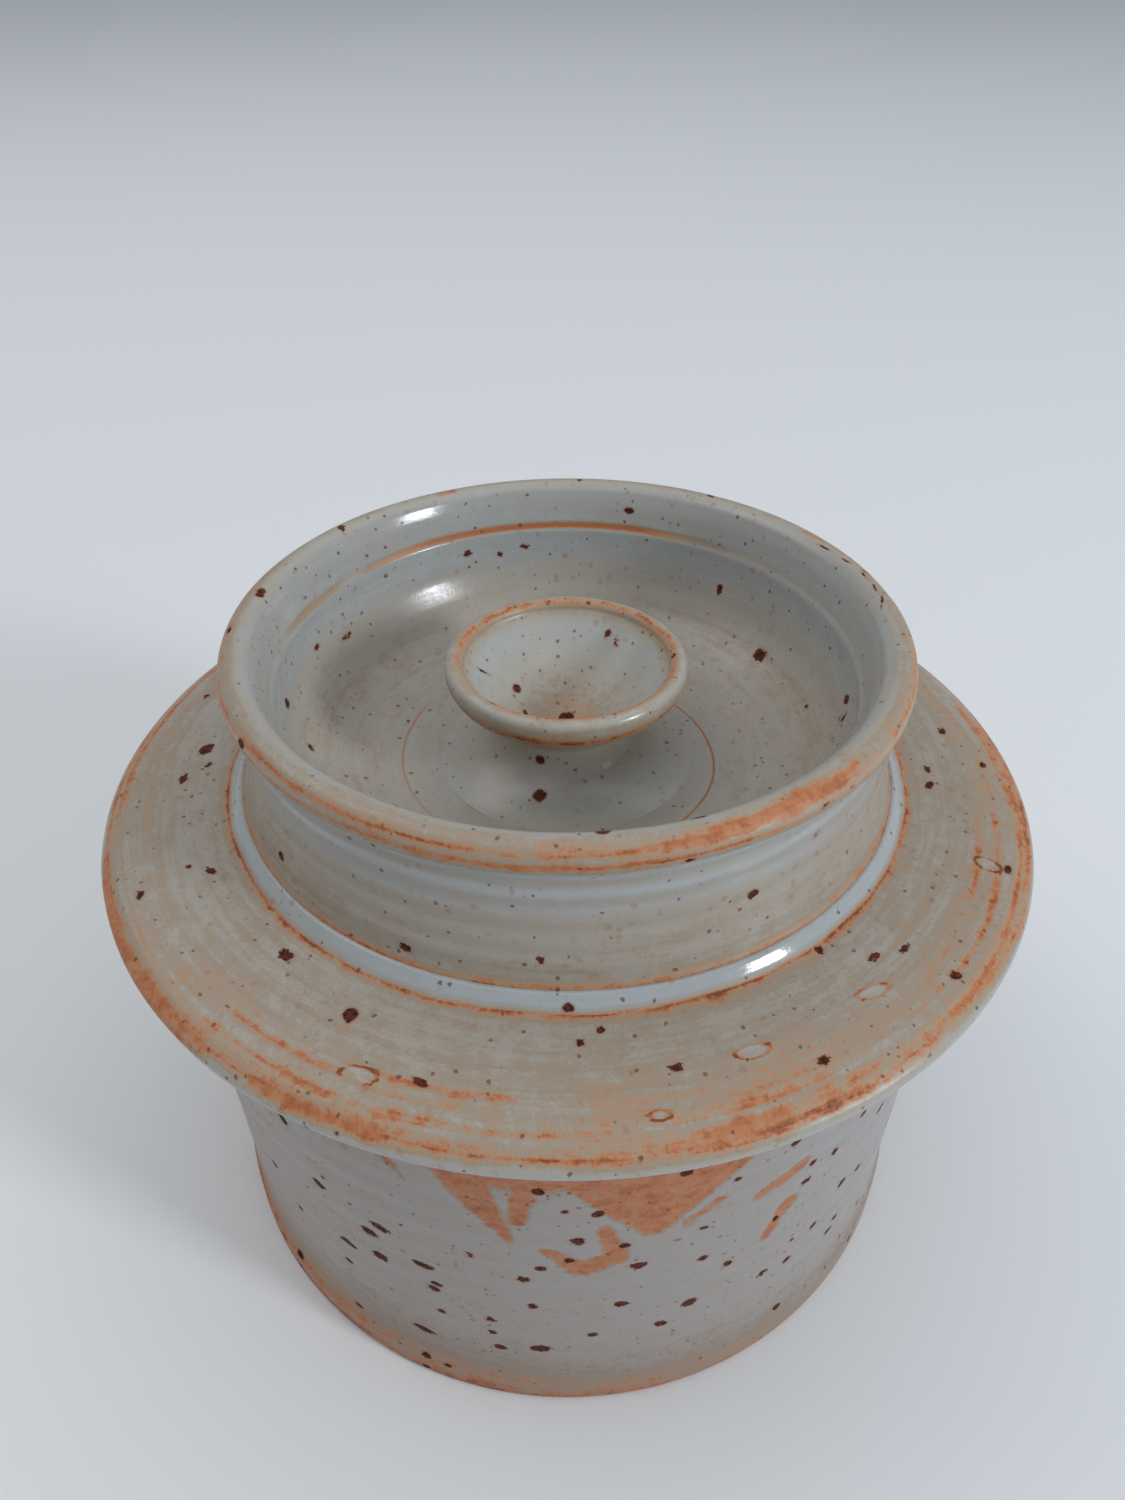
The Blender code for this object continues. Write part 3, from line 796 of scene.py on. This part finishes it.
def plate_piece():
    rows = lay_rows(plate_runs())

    def lift(theta, along, rows):
        brim, edge = rows.spans["brim"], rows.spans["edge"]
        brim_all = (brim[0], edge[1] - 2.0)
        rings = throwing_rings(theta, along, brim_all, 2.6, 0.03, 21)
        floor_rings = throwing_rings(theta, along, (0.0, rows.spans["floor"][1]), 3.4, 0.045, 24)
        return rings + floor_rings + lumps(theta, along, 0.22, 22) * fade(along, brim_all, 3.0)

    skin = turned_skin("plate_skin", rows, False, 600, lift, PLATE_FLECKS, PLATE_BARE, PLATE_BLISTERS,
                       FLOOR_LINE)
    stops = [
        ("centre", 0.0, 0.72), ("floor", 0.0, 0.72), ("floor", 0.5, 0.66), ("floor", 1.0, 0.60),
        ("seat", 0.98, 0.2), ("bead", 0.20, 0.08), ("bead", 0.30, 0.80), ("bead", 0.42, 0.95),
        ("bead", 0.78, 0.98), ("bead", 0.92, 0.55), ("bead", 0.985, 0.10), ("brim", 0.02, 0.14),
        ("brim", 0.06, 0.46), ("brim", 0.2, 0.54), ("brim", 0.6, 0.51), ("brim", 0.85, 0.42),
        ("edge", 0.0, 0.42), ("edge", 0.14, 0.52), ("edge", 0.22, 0.34), ("edge", 0.29, 0.48),
        ("edge", 0.36, 0.20), ("edge", 0.41, 0.38), ("edge", 0.465, 0.13), ("edge", 0.53, 0.40),
        ("edge", 0.66, 0.86), ("edge", 0.85, 0.62),
        ("underside", 0.02, 0.5), ("underside", 0.11, 0.25), ("underside", 0.13, 0.14),
        ("underside", 0.24, 0.14), ("underside", 0.28, 0.6), ("underside", 1.0, 0.65),
    ]
    look = glaze("plate_glaze", rows, stops, streaks=0.34, mottle=0.26, dashes=0.34, wander=1.0,
                 tint=(0.96, 0.95, 0.96), specks=0.04, pepper=0.45, lean_and_side_shade=(-45.0, 0.05))
    return finish_piece(skin, look, "lid", "lid_plate")


def collar_piece():
    rows = lay_rows(collar_runs())

    def lift(theta, along, rows):
        return throwing_rings(theta, along, (0.0, rows.total), 3.0, 0.06, 31)

    skin = turned_skin("collar_skin", rows, True, 360, lift)
    return finish_piece(skin, bare_clay("collar_clay"), "lid", "lid_collar")


def crown_piece():
    rows = lay_rows(crown_runs())

    def lift(theta, along, rows):
        wall, neck, cove = rows.spans["wall"], rows.spans["neck"], rows.spans["cove"]
        outside = (neck[0], wall[1])
        rings = throwing_rings(theta, along, outside, 3.3, 0.09, 41)
        inside = throwing_rings(theta, along, cove, 4.6, 0.045, 44)
        body = (cove[0] + 4.0, wall[1])
        return rings + inside + lumps(theta, along, 0.16, 42) * fade(along, body, 4.0)

    skin = turned_skin("crown_skin", rows, True, 600, lift, CROWN_FLECKS, CROWN_BARE, (), RIDGE_LINE)
    stops = [
        ("toe", 0.0, 0.60), ("cove", 0.0, 0.60), ("cove", 0.45, 0.56), ("cove", 0.72, 0.66),
        ("cove", 0.9, 0.90),
        ("inner_wall", 0.10, 0.92), ("inner_wall", 0.26, 0.72), ("inner_wall", 0.5, 0.84),
        ("roll", 0.0, 0.80), ("roll", 0.16, 0.68), ("roll", 0.27, 0.58),
        ("roll", 0.37, 0.42), ("roll", 0.49, 0.36), ("roll", 0.555, 0.18), ("roll", 0.60, 0.42),
        ("roll", 0.665, 0.36), ("roll", 0.71, 0.14), ("roll", 0.77, 0.40), ("roll", 0.89, 0.66),
        ("neck", 0.10, 0.90),
        ("neck", 0.45, 0.98), ("neck", 0.62, 0.78), ("neck", 0.80, 0.96), ("wall", 0.02, 0.74),
        ("wall", 0.10, 0.86), ("wall", 0.22, 0.64), ("wall", 0.5, 0.60), ("wall", 0.88, 0.54),
        ("wall", 0.955, 0.24), ("wall", 1.0, 0.14), ("foot", 0.5, 0.12),
    ]
    look = glaze("crown_glaze", rows, stops, streaks=0.30, mottle=0.26, dashes=0.30, wander=0.9,
                 tint=(0.96, 0.95, 0.96), specks=0.08, pepper=0.36, line_width=0.80)
    return finish_piece(skin, look, "lid", "lid_crown")


def knob_piece():
    rows = lay_rows(knob_runs())

    def lift(theta, along, rows):
        side = (rows.spans["lip"][0], rows.spans["waist"][1])
        return lumps(theta, along, 0.12, 52) * fade(along, side, 2.0)

    skin = turned_skin("knob_skin", rows, False, 320, lift, KNOB_FLECKS_AND_BOWL_SHADE)
    stops = [
        # The bowl's glaze thins to dark rust towards its bottom: painted shade of the deep bowl.
        ("bowl", 0.0, 0.30), ("bowl", 0.2, 0.36), ("bowl", 0.40, 0.56), ("bowl", 0.6, 0.70),
        ("bowl", 0.88, 0.84), ("bowl", 0.97, 0.52),
        ("lip", 0.14, 0.38), ("lip", 0.32, 0.18), ("lip", 0.45, 0.26), ("lip", 0.55, 0.50),
        ("lip", 0.80, 0.70),
        ("lip_side", 0.05, 0.45), ("lip_side", 0.15, 0.12), ("lip_side", 0.22, 0.34),
        ("lip_side", 0.32, 0.20), ("lip_side", 0.50, 0.46),
        ("waist", 0.0, 0.62), ("waist", 0.6, 0.74), ("waist", 1.0, 0.70),
    ]
    look = glaze("knob_glaze", rows, stops, streaks=0.22, mottle=0.20, wander=0.6,
                 specks=0.14, pepper=0.55, gloss=0.16)
    return finish_piece(skin, look, "lid", "lid_knob")


# ---------------------------------------------------------------- stage, light and camera

def plain(name, colour, roughness):
    material = bpy.data.materials.new(name)
    material.use_nodes = True
    shader = material.node_tree.nodes["Principled BSDF"]
    shader.inputs["Base Color"].default_value = (*colour, 1.0)
    shader.inputs["Roughness"].default_value = roughness
    return material


def add_floor():
    mesh = bpy.data.meshes.new("studio_floor")
    half = 6.0
    corners = [(-half, -half, 0), (half, -half, 0), (half, half, 0), (-half, half, 0)]
    mesh.from_pydata(corners, [], [(0, 1, 2, 3)])
    mesh.materials.append(plain("studio_floor", (0.80, 0.80, 0.80), 0.9))
    floor = bpy.data.objects.new("studio_floor", mesh)
    bpy.context.scene.collection.objects.link(floor)


def add_light(name, azimuth, elevation, distance, width, height, power, colour):
    """An area light that faces the middle of the canister. Azimuth goes round from +X."""
    data = bpy.data.lights.new(name, "AREA")
    data.shape = "RECTANGLE"
    data.size, data.size_y = width, height
    data.energy = power
    data.color = colour
    lamp = bpy.data.objects.new(name, data)
    bpy.context.scene.collection.objects.link(lamp)
    a, e = math.radians(azimuth), math.radians(elevation)
    away = Vector((math.cos(a) * math.cos(e), math.sin(a) * math.cos(e), math.sin(e)))
    middle = Vector((0.0, 0.0, 0.5 * CROWN.top * MM))
    lamp.location = middle + away * distance
    lamp.rotation_euler = (-away).to_track_quat("-Z", "Y").to_euler()


def add_world():
    world = bpy.data.worlds.new("studio_air")
    world.use_nodes = True
    air = world.node_tree.nodes["Background"]
    air.inputs["Color"].default_value = (0.84, 0.92, 1.0, 1.0)
    air.inputs["Strength"].default_value = 0.42
    bpy.context.scene.world = world


def add_camera():
    """Close above the canister's front, looking down at it."""
    data = bpy.data.cameras.new("camera")
    data.sensor_width = 36.0
    data.lens = 27.05
    data.clip_start = 0.01
    camera = bpy.data.objects.new("camera", data)
    bpy.context.scene.collection.objects.link(camera)
    look = Matrix.Rotation(math.radians(52.24), 4, "X") @ Matrix.Rotation(math.radians(-0.23), 4, "Z")
    camera.matrix_world = Matrix.Translation(Vector((-0.6, -132.9, 182.4)) * MM) @ look
    bpy.context.scene.camera = camera


add_camera()
add_world()
add_floor()
add_light("window", -30, 24, 1.2, 0.20, 0.26, 6.0, (0.88, 0.94, 1.0))
add_light("ceiling", 97, 86, 1.7, 2.4, 2.4, 12.2, (0.88, 0.94, 1.0))
add_light("fill", 165, 50, 1.4, 0.8, 0.8, 2.2, (1.0, 0.93, 0.85))
bpy.context.scene.view_settings.view_transform = "Standard"

jar_piece()
plate_piece()
collar_piece()
crown_piece()
knob_piece()
